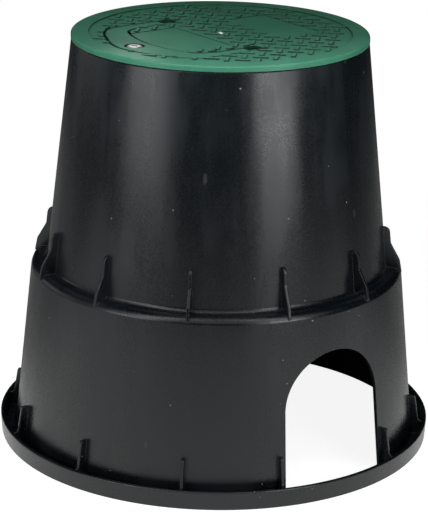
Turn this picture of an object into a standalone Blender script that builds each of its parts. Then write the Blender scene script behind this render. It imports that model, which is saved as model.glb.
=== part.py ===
# Round irrigation valve box: a two-stage tapered housing with a flanged foot and a pipe
# arch on each side, and a drop-in lid with a folding carry handle and one lock screw.
# Metres, +Z up. The origin is on the ground under the middle of the box. The pipe runs
# through the arches along X, and the carry handle lies folded towards -Y.

import bpy
import bmesh
from math import acos, asin, atan2, cos, hypot, pi, sin, tan
from mathutils import Matrix, Vector

# Whole box
OVERALL_HEIGHT = 0.2286
SEAT_GAP = 0.0003          # left between two pieces that rest on each other

# Facets
TURN_STEPS = 72            # round a large turned shape
ROUND_STEPS = 20           # round a small hole or boss
CORNER_STEPS = 2           # in a rounded corner
ARCH_STEPS = 16            # over the top of an arch
CURVE_STEPS = 3            # between two points of the handle's line

# Housing wall, from the mouth down
WALL = 0.0022
MOUTH_RADIUS = 0.0810      # outside of the wall
UPPER_FLARE = 0.0138       # the upper cone's growth in radius from the mouth to its foot
STEP_WIDTH = 0.0083        # the ledge between the two cones
LOWER_FLARE = 0.0102       # the lower cone's growth in radius
LEDGE_HEIGHT = 0.1002
SHOULDER_ROUND = 0.0042
FOOT_FILLET = 0.0024       # where the upper cone grows out of the ledge

# Foot flange: a channel between the wall and an upturned rim
CHANNEL_WIDTH = 0.0060
CHANNEL_FILLET = 0.0015
FLOOR_THICKNESS = 0.0022
RIM_HEIGHT = 0.0104
RIM_WALL = 0.0022
RIM_LEAN = 0.0006          # the rim is this much narrower at the ground
RIM_ROUND = 0.0008

# Stiffening ribs on the ledge and in the foot channel
RIB_COUNT = 12
RIB_THICKNESS = 0.0018
STEP_RIB_HEIGHT = 0.0234   # above the ledge
STEP_RIB_DROP = 0.0027     # below the ledge
STEP_RIB_REACH = 0.0040    # how far its upper end stands out from the wall
STEP_RIB_ROUND = 0.0034
STEP_RIB_KNEE = 0.0139     # height over the ledge where it starts to swing outwards
STEP_RIB_HIP = 0.0048      # height over the ledge where it turns down again
STEP_RIB_PROUD = 0.0006    # how far it stands out from the lower cone
BASE_RIB_HEIGHT = 0.0248
BASE_RIB_REACH = 0.0039
BASE_RIB_ROUND = 0.0012
BASE_RIB_SHOULDER = 0.0005 # how far above the rim its outer edge swings to the rim
BASE_RIB_SINK = 0.0012     # how far below the rim's top it meets the rim

# Pipe arches
ARCH_HALF_WIDTH = 0.0326   # at the ground
ARCH_LEAN = 0.0015         # each side leans in this much up to the spring line
ARCH_SPRING = 0.0461
ARCH_RIB_OFFSET = 0.0031   # from the arch's edge to the middle of the rib beside it

# Lid
LID_OVERHANG = 0.0002      # over the outside of the mouth
LID_EDGE = 0.0033
LID_ROUND = 0.0011
LID_LOWER_ROUND = 0.0004
RING_WIDTH = 0.0096        # the flat band round the tread
RECESS_DEPTH = 0.0009
SKIRT_DEPTH = 0.0070
SKIRT_WALL = 0.0020
SKIRT_ROUND = 0.0005
SKIRT_CLEARANCE = 0.0005   # between the skirt and the housing's mouth
LID_RIB_DEPTH = 0.0045
LID_RIB_THICKNESS = 0.0018
LID_HUB_RADIUS = 0.0200

# Tread: short raised bars, at right angles to their neighbours
BAR_PITCH = 0.0116
BAR_LENGTH = 0.0084
BAR_WIDTH = 0.0024
BAR_HEIGHT = 0.0008
BAR_SLOPE = 0.0004         # how far each side leans in
BAR_ROW_START = 0.0174     # distance of one bar row behind the lid's middle

# Plain panels in the tread, their edges set by the bars beside them
PANEL_DEPTH = 0.0004
PANEL_SIDE_PITCHES = 2.5   # from the middle line to the bars beside a panel
BACK_PANEL_PITCHES = 3     # from one bar row to the next beyond the back panel
FRONT_PANEL_NEAR = 0.0123
BAR_ROOM = 0.0003          # between a bar and a panel's edge

# Carry handle and its trough in the lid
HANDLE_SPREAD = 0.0391     # middle of each arm from the lid's middle line
ARM_WIDTH = 0.0062
GRIP_WIDTH = 0.0176
HANDLE_SINK = 0.0009       # handle's top below the lid's top
HANDLE_THICKNESS = 0.0050
HANDLE_ROUND = 0.0006
CORE_WALL = 0.0016         # wall left round the hollows in the handle's underside
CORE_DEPTH = 0.0030
EYE_WALL = 0.0022          # wall round the eye, thick enough to run into the grip's sides
PIVOT_OFFSET = 0.0066      # hinge axis, from the lid's middle towards the handle
PIVOT_RISE = 0.0005        # hinge axis, above the handle's underside
NECK_LENGTH = 0.0054       # from the hinge axis to the full depth of the arm
NECK_LAP = 0.0015          # how far the neck runs into the arm
NECK_HEEL = 0.0037         # from the hinge axis to where the neck's underside has risen
NECK_RADIUS = 0.0023
PIN_RADIUS = 0.0019
PIN_GRIP = 0.0016          # how far each hinge pin reaches into the lid
PIN_CLEARANCE = 0.0003
SLOT_GAP = 0.0015
TROUGH_WALL = 0.0020
POCKET_SIDE = 0.0023       # room beside an arm in its hinge pocket
POCKET_WALL = 0.0030
POCKET_ROUND = 0.0020

# The handle's middle line, from one arm's end to the middle of the grip: share of the
# spread, share of the way from the hinge to the grip, share of the growth in width.
HANDLE_LINE_RATIOS = (
    (1.00, 0.356, 0.00),
    (0.99, 0.527, 0.11),
    (0.91, 0.720, 0.38),
    (0.75, 0.825, 0.55),
    (0.53, 0.900, 0.66),
    (0.28, 0.965, 0.88),
    (0.00, 1.000, 1.00),
)

# Lock screw, its seat in the lid, its lug in the housing and its nut
LOCK_INSET = 0.0149        # from the tread's edge to the screw's axis
SCREW_HEAD_RADIUS = 0.0047
SCREW_HEAD_HEIGHT = 0.0033
SCREW_HEAD_DOME = 0.0015
SCREW_HEAD_ROUND = 0.0011
SCREW_HEAD_SINK = 0.0008   # head's top below the lid's top
SCREW_RADIUS = 0.0030
SCREW_TIP = 0.0010
SCREW_STICKOUT = 0.0032    # below the lug
SCREW_CLEARANCE = 0.0003
SOCKET_RADIUS = 0.0021     # six-sided key socket
SOCKET_DEPTH = 0.0018
HEAD_ROOM = 0.0008         # between the head and the handle's eye
SEAT_LIP = 0.0003          # how far the raised seat stands out round the head
NUT_FLATS = 0.0100
NUT_HEIGHT = 0.0050
NUT_CLEARANCE = 0.0003
LUG_WALL = 0.0017          # round the nut's pocket
LUG_HEIGHT = 0.0140
LUG_SHELF = 0.0026
LUG_SHELF_INSET = 0.0008   # how much narrower than the lug the shelf is, each side
LUG_WEB_DROP = 0.0240      # how far the web reaches down the wall, below the shelf
LUG_WEB_RISE = 0.0014      # where the web leaves the lug, above the lug's foot

# Radii that follow from the sizes above
upper_foot_radius = MOUTH_RADIUS + UPPER_FLARE
lower_top_radius = upper_foot_radius + STEP_WIDTH
lower_foot_radius = lower_top_radius + LOWER_FLARE
rim_inner_radius = lower_foot_radius + CHANNEL_WIDTH
base_radius = rim_inner_radius + RIM_WALL
lid_radius = MOUTH_RADIUS + LID_OVERHANG
tread_radius = lid_radius - RING_WIDTH
skirt_outer = MOUTH_RADIUS - WALL - SKIRT_CLEARANCE
skirt_inner = skirt_outer - SKIRT_WALL
eye_radius = SCREW_HEAD_RADIUS + HEAD_ROOM
nut_corner_radius = NUT_FLATS / 2 / cos(pi / 6)
nut_pocket_radius = nut_corner_radius + NUT_CLEARANCE
lug_radius = nut_pocket_radius + LUG_WALL
pocket_half_width = ARM_WIDTH / 2 + POCKET_SIDE

# Places that follow
housing_top = OVERALL_HEIGHT - LID_EDGE - SEAT_GAP
trough_floor = HANDLE_SINK + HANDLE_THICKNESS + SEAT_GAP
trough_bottom = trough_floor + TROUGH_WALL
pivot_depth = HANDLE_SINK + HANDLE_THICKNESS - PIVOT_RISE
lock_offset = tread_radius - LOCK_INSET
handle_reach = lock_offset - PIVOT_OFFSET
lug_top = OVERALL_HEIGHT - trough_bottom - SEAT_GAP
lug_foot = lug_top - LUG_HEIGHT
head_underside = OVERALL_HEIGHT - SCREW_HEAD_SINK - SCREW_HEAD_HEIGHT
bar_reach = BAR_LENGTH / 2 * cos(pi / 4) + BAR_ROOM
panel_half_width = PANEL_SIDE_PITCHES * BAR_PITCH - bar_reach
back_panel_near = BAR_ROW_START + bar_reach
back_panel_far = BAR_ROW_START + BACK_PANEL_PITCHES * BAR_PITCH - bar_reach
front_panel_far = lock_offset - GRIP_WIDTH / 2
lid_place = (0, 0, OVERALL_HEIGHT)
lock_place = (0, -lock_offset, OVERALL_HEIGHT)
hinge_place = (0, -PIVOT_OFFSET, OVERALL_HEIGHT - pivot_depth)


def start_clean():
    """Removes what the scene holds, so that the script can run again."""
    for obj in list(bpy.data.objects):
        bpy.data.objects.remove(obj, do_unlink=True)


def make_collection(name):
    collection = bpy.data.collections.new(name)
    bpy.context.scene.collection.children.link(collection)
    return collection


def make_material(name, colour, roughness, metallic=0.0):
    material = bpy.data.materials.new(name)
    material.use_nodes = True
    shader = material.node_tree.nodes["Principled BSDF"]
    shader.inputs["Base Color"].default_value = (*colour, 1.0)
    shader.inputs["Roughness"].default_value = roughness
    shader.inputs["Metallic"].default_value = metallic
    material.diffuse_color = (*colour, 1.0)
    return material


start_clean()
PARTS = make_collection("irrigation_valve_box")
CUTTERS = make_collection("cutters")
BLACK_PLASTIC = make_material("black_plastic", (0.020, 0.021, 0.022), 0.42)
GREEN_PLASTIC = make_material("green_plastic", (0.035, 0.160, 0.085), 0.45)
HANDLE_GREEN = make_material("green_plastic_handle", (0.037, 0.165, 0.089), 0.45)
STAINLESS = make_material("stainless_steel", (0.62, 0.62, 0.60), 0.28, 1.0)
ZINC = make_material("zinc_plated_steel", (0.55, 0.55, 0.52), 0.38, 1.0)


def place(obj, collection, location=(0, 0, 0)):
    """Links an object; a cutter is also kept out of renders and of the build."""
    collection.objects.link(obj)
    obj.location = location
    if collection is CUTTERS:
        obj.hide_render = True
        obj.display_type = "WIRE"
    return obj


def boolean(target, tool, operation):
    modifier = target.modifiers.new(tool.name, "BOOLEAN")
    modifier.object = tool
    modifier.operation = operation
    modifier.solver = "EXACT"


def finish_part(obj, material):
    """Gives a part its material, and smooth shading with sharp corners kept."""
    obj.data.materials.append(material)
    obj.data.shade_smooth()
    obj.data.set_sharp_from_angle(angle=pi / 6)


def rounded(corners, steps=CORNER_STEPS):
    """Turns corners (x, y, radius) of a closed outline into points with round corners."""
    points = []
    count = len(corners)
    for index, (x, y, radius) in enumerate(corners):
        corner = Vector((x, y))
        if radius <= 0:
            points.append(corner)
            continue
        before = (Vector(corners[index - 1][:2]) - corner).normalized()
        after = (Vector(corners[(index + 1) % count][:2]) - corner).normalized()
        half = acos(max(-1.0, min(1.0, before.dot(after)))) / 2
        middle = corner + (before + after).normalized() * radius / sin(half)
        first = corner + before * radius / tan(half) - middle
        last = corner + after * radius / tan(half) - middle
        sweep = atan2(first.x * last.y - first.y * last.x, first.dot(last))
        for step in range(steps + 1):
            points.append(middle + Matrix.Rotation(sweep * step / steps, 2) @ first)
    return points


def circle(radius, count):
    """Points round a circle."""
    angles = [2 * pi * k / count for k in range(count)]
    return [Vector((radius * cos(angle), radius * sin(angle))) for angle in angles]


def turned(name, profile, closed, steps=TURN_STEPS):
    """A turned solid: the profile (radius, height) swept round the Z axis."""
    mesh = bpy.data.meshes.new(name)
    edges = [(k, k + 1) for k in range(len(profile) - 1)]
    if closed:
        edges.append((len(profile) - 1, 0))
    mesh.from_pydata([(point[0], 0, point[1]) for point in profile], edges, [])
    obj = bpy.data.objects.new(name, mesh)
    screw = obj.modifiers.new("turn", "SCREW")
    screw.axis = "Z"
    screw.steps = steps
    screw.render_steps = steps
    screw.use_merge_vertices = True
    screw.merge_threshold = 0.00001
    return obj


def evaluated_mesh(obj):
    """A plain mesh of an object with its modifiers applied."""
    depsgraph = bpy.context.evaluated_depsgraph_get()
    return bpy.data.meshes.new_from_object(obj.evaluated_get(depsgraph))


def flat_mesh(name, outline, thickness, edge_round=0.0):
    """A closed plate: an outline in X and Y, with its thickness centred on Z."""
    curve = bpy.data.curves.new(name, "CURVE")
    curve.dimensions = "2D"
    curve.fill_mode = "BOTH"
    curve.extrude = thickness / 2 - edge_round
    curve.bevel_depth = edge_round
    curve.bevel_resolution = 1
    curve.offset = -edge_round
    spline = curve.splines.new("POLY")
    spline.points.add(len(outline) - 1)
    for point, place_xy in zip(spline.points, outline):
        point.co = (place_xy[0], place_xy[1], 0, 1)
    spline.use_cyclic_u = True
    obj = bpy.data.objects.new(name, curve)
    bpy.context.scene.collection.objects.link(obj)
    mesh = evaluated_mesh(obj)
    bpy.data.objects.remove(obj, do_unlink=True)
    bm = bmesh.new()
    bm.from_mesh(mesh)
    bmesh.ops.remove_doubles(bm, verts=bm.verts, dist=0.000001)
    bmesh.ops.dissolve_limit(bm, angle_limit=pi / 1800, verts=bm.verts, edges=bm.edges)
    bmesh.ops.recalc_face_normals(bm, faces=bm.faces)
    bm.to_mesh(mesh)
    bm.free()
    mesh.name = name
    return mesh


def rectangle(left, right, near, far, radius=0.0):
    return rounded(((left, near, radius), (right, near, radius), (right, far, radius), (left, far, radius)))


def slab(name, outline, bottom, top):
    """A plate whose outline lies in X and Y, between two heights."""
    mesh = flat_mesh(name, outline, top - bottom)
    mesh.transform(Matrix.Translation((0, 0, (top + bottom) / 2)))
    return mesh


def radial_plate(name, outline, thickness):
    """A plate whose outline gives radius and height, standing in the plane of X and Z."""
    mesh = flat_mesh(name, outline, thickness)
    mesh.transform(Matrix.Rotation(pi / 2, 4, "X"))
    return mesh


def joined(name, placed):
    """One mesh from pairs of a mesh and a matrix; the copies don't touch each other."""
    bm = bmesh.new()
    for mesh, matrix in placed:
        copy = mesh.copy()
        copy.transform(matrix)
        bm.from_mesh(copy)
        bpy.data.meshes.remove(copy)
    mesh = bpy.data.meshes.new(name)
    bm.to_mesh(mesh)
    bm.free()
    return mesh


def tool(name, mesh, location=(0, 0, 0)):
    return place(bpy.data.objects.new(name, mesh), CUTTERS, location)


def cylinder_mesh(name, radius, bottom, top, sides=ROUND_STEPS):
    return slab(name, circle(radius, sides), bottom, top)


def tube_mesh(name, outer, inner, bottom, top, sides=ROUND_STEPS):
    """A ring of square section, turned by half a facet to keep its corners off other corners."""
    section = ((outer, top), (outer, bottom), (inner, bottom), (inner, top))
    ring = turned(name, section, closed=True, steps=sides)
    bpy.context.scene.collection.objects.link(ring)
    mesh = evaluated_mesh(ring)
    bpy.data.objects.remove(ring, do_unlink=True)
    mesh.transform(Matrix.Rotation(pi / sides, 4, "Z"))
    return mesh


def lower_radius(height):
    """Outer radius of the lower cone."""
    return lower_foot_radius - LOWER_FLARE * height / LEDGE_HEIGHT


def upper_radius(height):
    """Outer radius of the upper cone."""
    return upper_foot_radius - UPPER_FLARE * (height - LEDGE_HEIGHT) / (housing_top - LEDGE_HEIGHT)


# Housing: one black injection moulding, the same wall all the way up
def housing_profile():
    floor = FLOOR_THICKNESS
    under = LEDGE_HEIGHT - WALL
    return rounded((
        (MOUTH_RADIUS, housing_top, 0),
        (upper_foot_radius, LEDGE_HEIGHT, FOOT_FILLET),
        (lower_top_radius, LEDGE_HEIGHT, SHOULDER_ROUND),
        (lower_radius(floor), floor, CHANNEL_FILLET),
        (rim_inner_radius - RIM_LEAN, floor, CHANNEL_FILLET),
        (rim_inner_radius, RIM_HEIGHT, RIM_ROUND),
        (base_radius, RIM_HEIGHT, RIM_ROUND),
        (base_radius - RIM_LEAN, 0, RIM_ROUND),
        (lower_foot_radius - WALL, 0, 0),
        (lower_top_radius - WALL, under, SHOULDER_ROUND - WALL),
        (upper_foot_radius - WALL, under, FOOT_FILLET + WALL),
        (MOUTH_RADIUS - WALL, housing_top, 0),
    ))


def step_rib_outline():
    """A fin that ties the upper cone to the shoulder, with an S-shaped outer edge."""
    top = LEDGE_HEIGHT + STEP_RIB_HEIGHT
    knee = LEDGE_HEIGHT + STEP_RIB_KNEE
    hip = LEDGE_HEIGHT + STEP_RIB_HIP
    bottom = LEDGE_HEIGHT - STEP_RIB_DROP
    inside = WALL / 2
    return rounded((
        (upper_radius(top) - inside, top, 0),
        (upper_radius(top) + STEP_RIB_REACH, top, STEP_RIB_ROUND),
        (upper_radius(knee) + STEP_RIB_REACH, knee, STEP_RIB_REACH),
        (lower_top_radius - STEP_RIB_PROUD, hip, STEP_RIB_REACH),
        (lower_radius(bottom) + STEP_RIB_PROUD, bottom, 0),
        (lower_radius(bottom) - inside, bottom, 0),
        (lower_top_radius - SHOULDER_ROUND, LEDGE_HEIGHT - inside, 0),
        (upper_foot_radius - inside, LEDGE_HEIGHT - inside, 0),
    ))


def base_rib_outline():
    """A fin in the foot channel, from the wall out to the upturned rim."""
    inside = WALL / 2
    top_radius = lower_radius(BASE_RIB_HEIGHT) + BASE_RIB_REACH
    swing = RIM_HEIGHT + BASE_RIB_SHOULDER
    return rounded((
        (lower_radius(BASE_RIB_HEIGHT) - inside, BASE_RIB_HEIGHT, 0),
        (top_radius, BASE_RIB_HEIGHT, BASE_RIB_ROUND),
        ((top_radius + rim_inner_radius) / 2, swing, BASE_RIB_ROUND),
        (rim_inner_radius + RIM_WALL / 2, RIM_HEIGHT - BASE_RIB_SINK, 0),
        (rim_inner_radius, FLOOR_THICKNESS / 2, 0),
        (lower_foot_radius - inside, FLOOR_THICKNESS / 2, 0),
    ))


def rib_angles():
    """Even steps, offset so that each arch lies midway between two ribs."""
    return [2 * pi * (k + 0.5) / RIB_COUNT for k in range(RIB_COUNT)]


def base_rib_angle(angle):
    """A foot rib that would meet an arch moves to just beside it."""
    edge = asin((ARCH_HALF_WIDTH + ARCH_RIB_OFFSET) / lower_foot_radius)
    side = 0 if cos(angle) > 0 else pi
    lean = atan2(sin(angle - side), cos(angle - side))
    if abs(lean) < edge:
        return side + (edge if lean > 0 else -edge)
    return angle


def arch_cutter():
    """The pipe passage, kept short of the rim so that the rim runs on in front of it."""
    half_top = ARCH_HALF_WIDTH - ARCH_LEAN
    outline = [Vector((-ARCH_HALF_WIDTH, FLOOR_THICKNESS)), Vector((ARCH_HALF_WIDTH, FLOOR_THICKNESS))]
    for step in range(ARCH_STEPS + 1):
        angle = pi * step / ARCH_STEPS
        outline.append(Vector((half_top * cos(angle), ARCH_SPRING + half_top * sin(angle))))
    mesh = flat_mesh("arch_passage", outline, 2 * base_radius)
    mesh.transform(Matrix.Rotation(pi / 2, 4, "Z") @ Matrix.Rotation(pi / 2, 4, "X"))
    passage = tool("arch_passage", mesh)
    reach = lower_foot_radius + CHANNEL_WIDTH / 2
    limit = cylinder_mesh("arch_limit", reach, -RIM_HEIGHT, LEDGE_HEIGHT, TURN_STEPS)
    boolean(passage, tool("arch_limit", limit), "INTERSECT")
    return passage


def lock_lug(body):
    """The lug that the lock screw pulls on: a boss on a shelf and a web from the wall."""
    shelf_top = min(housing_top - SKIRT_DEPTH, OVERALL_HEIGHT - trough_bottom) - SEAT_GAP
    shelf_bottom = shelf_top - LUG_SHELF
    shelf_middle = shelf_top - LUG_SHELF / 2
    root = upper_radius(shelf_top) - WALL / 2
    half = lug_radius - LUG_SHELF_INSET
    web_foot = shelf_bottom - LUG_WEB_DROP
    web_start = lock_offset + lug_radius / 2
    axis = (0, -lock_offset, 0)

    boss = cylinder_mesh("lug_boss", lug_radius, lug_foot, lug_top)
    boolean(body, tool("lug_boss", boss, axis), "UNION")
    shelf = slab("lug_shelf", rectangle(-half, half, -root, -lock_offset), shelf_bottom, shelf_top)
    boolean(body, tool("lug_shelf", shelf), "UNION")
    web = radial_plate("lug_web", (
        (web_start, shelf_middle),
        (web_start, lug_foot + LUG_WEB_RISE),
        (upper_radius(web_foot) - WALL / 2, web_foot),
        (root, shelf_middle),
    ), RIB_THICKNESS)
    web.transform(Matrix.Rotation(-pi / 2, 4, "Z"))
    boolean(body, tool("lug_web", web), "UNION")
    bore_radius = SCREW_RADIUS + SCREW_CLEARANCE
    bore = cylinder_mesh("lug_bore", bore_radius, lug_foot - LUG_HEIGHT, lug_top + LUG_HEIGHT)
    boolean(body, tool("lug_bore", bore, axis), "DIFFERENCE")
    ceiling = lug_foot + NUT_HEIGHT + 2 * NUT_CLEARANCE
    pocket = cylinder_mesh("nut_pocket", nut_pocket_radius, lug_foot - LUG_HEIGHT, ceiling, 6)
    boolean(body, tool("nut_pocket", pocket, axis), "DIFFERENCE")


def make_housing():
    body = place(turned("box_body", housing_profile(), closed=True), PARTS)
    step_rib = radial_plate("step_rib", step_rib_outline(), RIB_THICKNESS)
    base_rib = radial_plate("base_rib", base_rib_outline(), RIB_THICKNESS)
    placed = []
    for angle in rib_angles():
        placed.append((step_rib, Matrix.Rotation(angle, 4, "Z")))
        placed.append((base_rib, Matrix.Rotation(base_rib_angle(angle), 4, "Z")))
    boolean(body, tool("ribs", joined("ribs", placed)), "UNION")
    boolean(body, arch_cutter(), "DIFFERENCE")
    lock_lug(body)
    finish_part(body, BLACK_PLASTIC)
    return body


# Carry handle: the same outline makes the handle and, grown by the slot, its trough
def handle_stations():
    """Points (x, distance towards the handle, width) along the handle's middle line."""
    rows = [(1.0, NECK_LENGTH / handle_reach, 0.0)] + list(HANDLE_LINE_RATIOS)
    half = [
        Vector((side * HANDLE_SPREAD,
                PIVOT_OFFSET + along * handle_reach,
                ARM_WIDTH + growth * (GRIP_WIDTH - ARM_WIDTH)))
        for side, along, growth in rows
    ]
    return half + [Vector((-point.x, point.y, point.z)) for point in reversed(half[:-1])]


def smooth_line(stations):
    """A smooth line (Catmull-Rom) through the stations."""
    ends = [2 * stations[0] - stations[1]] + list(stations) + [2 * stations[-1] - stations[-2]]
    line = []
    for a, b, c, d in zip(ends, ends[1:], ends[2:], ends[3:]):
        for step in range(CURVE_STEPS):
            t = step / CURVE_STEPS
            line.append(0.5 * (2 * b + (c - a) * t + (2 * a - 5 * b + 4 * c - d) * t ** 2
                               + (3 * b - a - 3 * c + d) * t ** 3))
    line.append(stations[-1])
    return line


def handle_outline(margin):
    """The U of the handle, grown by a margin, in X and Y of the lid."""
    line = smooth_line(handle_stations())
    outer = []
    inner = []
    for index, point in enumerate(line):
        ahead = line[min(index + 1, len(line) - 1)] - line[max(index - 1, 0)]
        normal = Vector((ahead.y, -ahead.x)).normalized()
        half = point.z / 2 + margin
        outer.append(Vector((point.x, point.y)) - normal * half)
        inner.append(Vector((point.x, point.y)) + normal * half)
    for side in (outer, inner):
        side[0].y -= margin
        side[-1].y -= margin
    return [Vector((point.x, -point.y)) for point in outer + inner[::-1]]


def on_each_arm(mesh, name):
    """A mesh made for the middle line, repeated at both arms."""
    return joined(name, [
        (mesh, Matrix.Translation((-HANDLE_SPREAD, 0, 0))),
        (mesh, Matrix.Translation((HANDLE_SPREAD, 0, 0))),
    ])


def neck_mesh():
    """The round hinge end of an arm, in the frame of the hinge axis."""
    arc_steps = ROUND_STEPS // 2
    outline = []
    for step in range(arc_steps + 1):
        angle = pi / 2 + pi * step / arc_steps
        outline.append(Vector((NECK_RADIUS * cos(angle), NECK_RADIUS * sin(angle))))
    underside = HANDLE_ROUND - PIVOT_RISE
    outline.append(Vector((NECK_HEEL, underside)))
    outline.append(Vector((NECK_LENGTH + NECK_LAP, underside)))
    outline.append(Vector((NECK_LENGTH + NECK_LAP, NECK_RADIUS - HANDLE_ROUND / 2)))
    mesh = radial_plate("neck", outline, ARM_WIDTH - HANDLE_ROUND)
    mesh.transform(Matrix.Rotation(-pi / 2, 4, "Z"))
    return mesh


def hinge_pin_mesh(name, radius, length):
    """A pin along X, centred."""
    mesh = cylinder_mesh(name, radius, -length / 2, length / 2)
    mesh.transform(Matrix.Rotation(pi / 2, 4, "Y"))
    return mesh


def make_handle():
    """One green moulding: a U-shaped bar, hollowed from below, with an eye round the lock screw."""
    bar = flat_mesh("carry_handle", handle_outline(0), HANDLE_THICKNESS, HANDLE_ROUND)
    bar.transform(Matrix.Translation((0, PIVOT_OFFSET, HANDLE_THICKNESS / 2 - PIVOT_RISE)))
    handle = place(bpy.data.objects.new("carry_handle", bar), PARTS, hinge_place)
    eye_place = (0, -lock_offset, hinge_place[2])

    core = slab("handle_core", handle_outline(-CORE_WALL), -HANDLE_THICKNESS, CORE_DEPTH - PIVOT_RISE)
    core_tool = tool("handle_core", core, (0, 0, hinge_place[2]))
    eye_wall = cylinder_mesh("eye_wall", eye_radius + EYE_WALL, -2 * HANDLE_THICKNESS, HANDLE_THICKNESS)
    boolean(core_tool, tool("eye_wall", eye_wall, eye_place), "DIFFERENCE")
    boolean(handle, core_tool, "DIFFERENCE")

    necks = on_each_arm(neck_mesh(), "handle_necks")
    boolean(handle, tool("handle_necks", necks, hinge_place), "UNION")
    pin_length = 2 * (pocket_half_width + PIN_GRIP)
    pins = on_each_arm(hinge_pin_mesh("hinge_pin", PIN_RADIUS, pin_length), "hinge_pins")
    boolean(handle, tool("hinge_pins", pins, hinge_place), "UNION")
    eye = cylinder_mesh("handle_eye", eye_radius, -HANDLE_THICKNESS, HANDLE_THICKNESS)
    boolean(handle, tool("handle_eye", eye, eye_place), "DIFFERENCE")
    finish_part(handle, HANDLE_GREEN)
    return handle


# Lid: one green moulding. Its own heights are measured from its top face
def lid_profile():
    """The solid plug: its top recess and the room inside the skirt are cut afterwards."""
    skirt_foot = -LID_EDGE - SKIRT_DEPTH
    return rounded((
        (0, 0, 0),
        (lid_radius, 0, LID_ROUND),
        (lid_radius, -LID_EDGE, LID_LOWER_ROUND),
        (skirt_outer, -LID_EDGE, 0),
        (skirt_outer, skirt_foot, SKIRT_ROUND),
        (0, skirt_foot, 0),
    ))


def bar_mesh():
    """One tread bar lying along X, its four sides sloped, its foot sunk into the floor."""
    bm = bmesh.new()
    loops = []
    for height, inset in ((-RECESS_DEPTH / 2, 0), (BAR_HEIGHT, BAR_SLOPE)):
        length = BAR_LENGTH / 2 - inset
        width = BAR_WIDTH / 2 - inset
        corners = ((length, width), (-length, width), (-length, -width), (length, -width))
        loops.append([bm.verts.new((x, y, height)) for x, y in corners])
    low, high = loops
    bm.faces.new(high)
    bm.faces.new(low[::-1])
    for k in range(len(low)):
        n = (k + 1) % len(low)
        bm.faces.new((low[k], low[n], high[n], high[k]))
    mesh = bpy.data.meshes.new("tread_bar")
    bm.to_mesh(mesh)
    bm.free()
    return mesh


def clear_of_panels(x, y):
    """True where a bar's ends stay off both plain panels."""
    if abs(x) >= panel_half_width + bar_reach:
        return True
    on_back = back_panel_near - bar_reach < y < back_panel_far + bar_reach
    on_front = -front_panel_far < y < -FRONT_PANEL_NEAR + bar_reach
    return not on_back and not on_front


def tread_mesh():
    """Bars on a square grid and on its cell centres, the second set turned across."""
    bar = bar_mesh()
    reach = int((tread_radius + BAR_ROW_START) / BAR_PITCH) + 1
    limit = tread_radius - BAR_LENGTH / 4
    placed = []
    for column in range(-reach, reach + 1):
        for row in range(-reach, reach + 1):
            for shift, turn in ((0.0, pi / 4), (0.5, -pi / 4)):
                x = (column + shift) * BAR_PITCH
                y = BAR_ROW_START + (row + shift) * BAR_PITCH
                if hypot(x, y) < limit and clear_of_panels(x, y):
                    spot = Matrix.Translation((x, y, -RECESS_DEPTH))
                    placed.append((bar, spot @ Matrix.Rotation(turn, 4, "Z")))
    return joined("tread_bars", placed)


def pocket_mesh(name, margin, bottom, top):
    """A hinge pocket, or the housing round it when a margin is added."""
    half = pocket_half_width + margin
    back = -PIVOT_OFFSET + HANDLE_THICKNESS - PIVOT_RISE + SEAT_GAP + margin
    front = -PIVOT_OFFSET - NECK_LENGTH + SLOT_GAP / 2 - margin
    return slab(name, rectangle(-half, half, front, back, POCKET_ROUND + margin), bottom, top)


def under_ribs_mesh(bottom, top):
    """Radial ribs under the lid, from the hub ring to the skirt."""
    inner = LID_HUB_RADIUS - LID_RIB_THICKNESS / 2
    outer = skirt_outer - SKIRT_WALL / 2
    outline = ((inner, top), (inner, bottom), (outer, bottom), (outer, top))
    rib = radial_plate("under_rib", outline, LID_RIB_THICKNESS)
    return joined("under_ribs", [(rib, Matrix.Rotation(angle, 4, "Z")) for angle in rib_angles()])


def lid_underside(lid):
    """Skirt, ribs, hub ring and the tubs that hold the handle's trough and hinge pockets."""
    plate_middle = -(RECESS_DEPTH + PANEL_DEPTH + LID_EDGE) / 2
    rib_bottom = -LID_EDGE - LID_RIB_DEPTH
    hollow = cylinder_mesh("skirt_hollow", skirt_inner, -LID_EDGE - 2 * SKIRT_DEPTH, -LID_EDGE, TURN_STEPS)
    boolean(lid, tool("skirt_hollow", hollow, lid_place), "DIFFERENCE")
    tub = slab("trough_tub", handle_outline(SLOT_GAP + TROUGH_WALL), -trough_bottom, plate_middle)
    boolean(lid, tool("trough_tub", tub, lid_place), "UNION")
    pocket_tub = pocket_mesh("pocket_tub", POCKET_WALL, -pocket_floor() - TROUGH_WALL, plate_middle)
    boolean(lid, tool("pocket_tubs", on_each_arm(pocket_tub, "pocket_tubs"), lid_place), "UNION")
    ribs = under_ribs_mesh(rib_bottom, plate_middle)
    boolean(lid, tool("under_ribs", ribs, lid_place), "UNION")
    hub = tube_mesh("hub_ring", LID_HUB_RADIUS, LID_HUB_RADIUS - LID_RIB_THICKNESS, rib_bottom, plate_middle)
    boolean(lid, tool("hub_ring", hub, lid_place), "UNION")


def lid_tread(lid):
    """The recess inside the ring, its two plain panels and its bars."""
    above = LID_EDGE
    recess = cylinder_mesh("top_recess", tread_radius, -RECESS_DEPTH, above, TURN_STEPS)
    boolean(lid, tool("top_recess", recess, lid_place), "DIFFERENCE")
    floor = -RECESS_DEPTH - PANEL_DEPTH
    back = rectangle(-panel_half_width, panel_half_width, back_panel_near, back_panel_far)
    front = rectangle(-panel_half_width, panel_half_width, -front_panel_far, -FRONT_PANEL_NEAR)
    panels = joined("panels", [
        (slab("back_panel", back, floor, above), Matrix()),
        (slab("front_panel", front, floor, above), Matrix()),
    ])
    boolean(lid, tool("panels", panels, lid_place), "DIFFERENCE")
    boolean(lid, tool("tread_bars", tread_mesh(), lid_place), "UNION")


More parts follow.
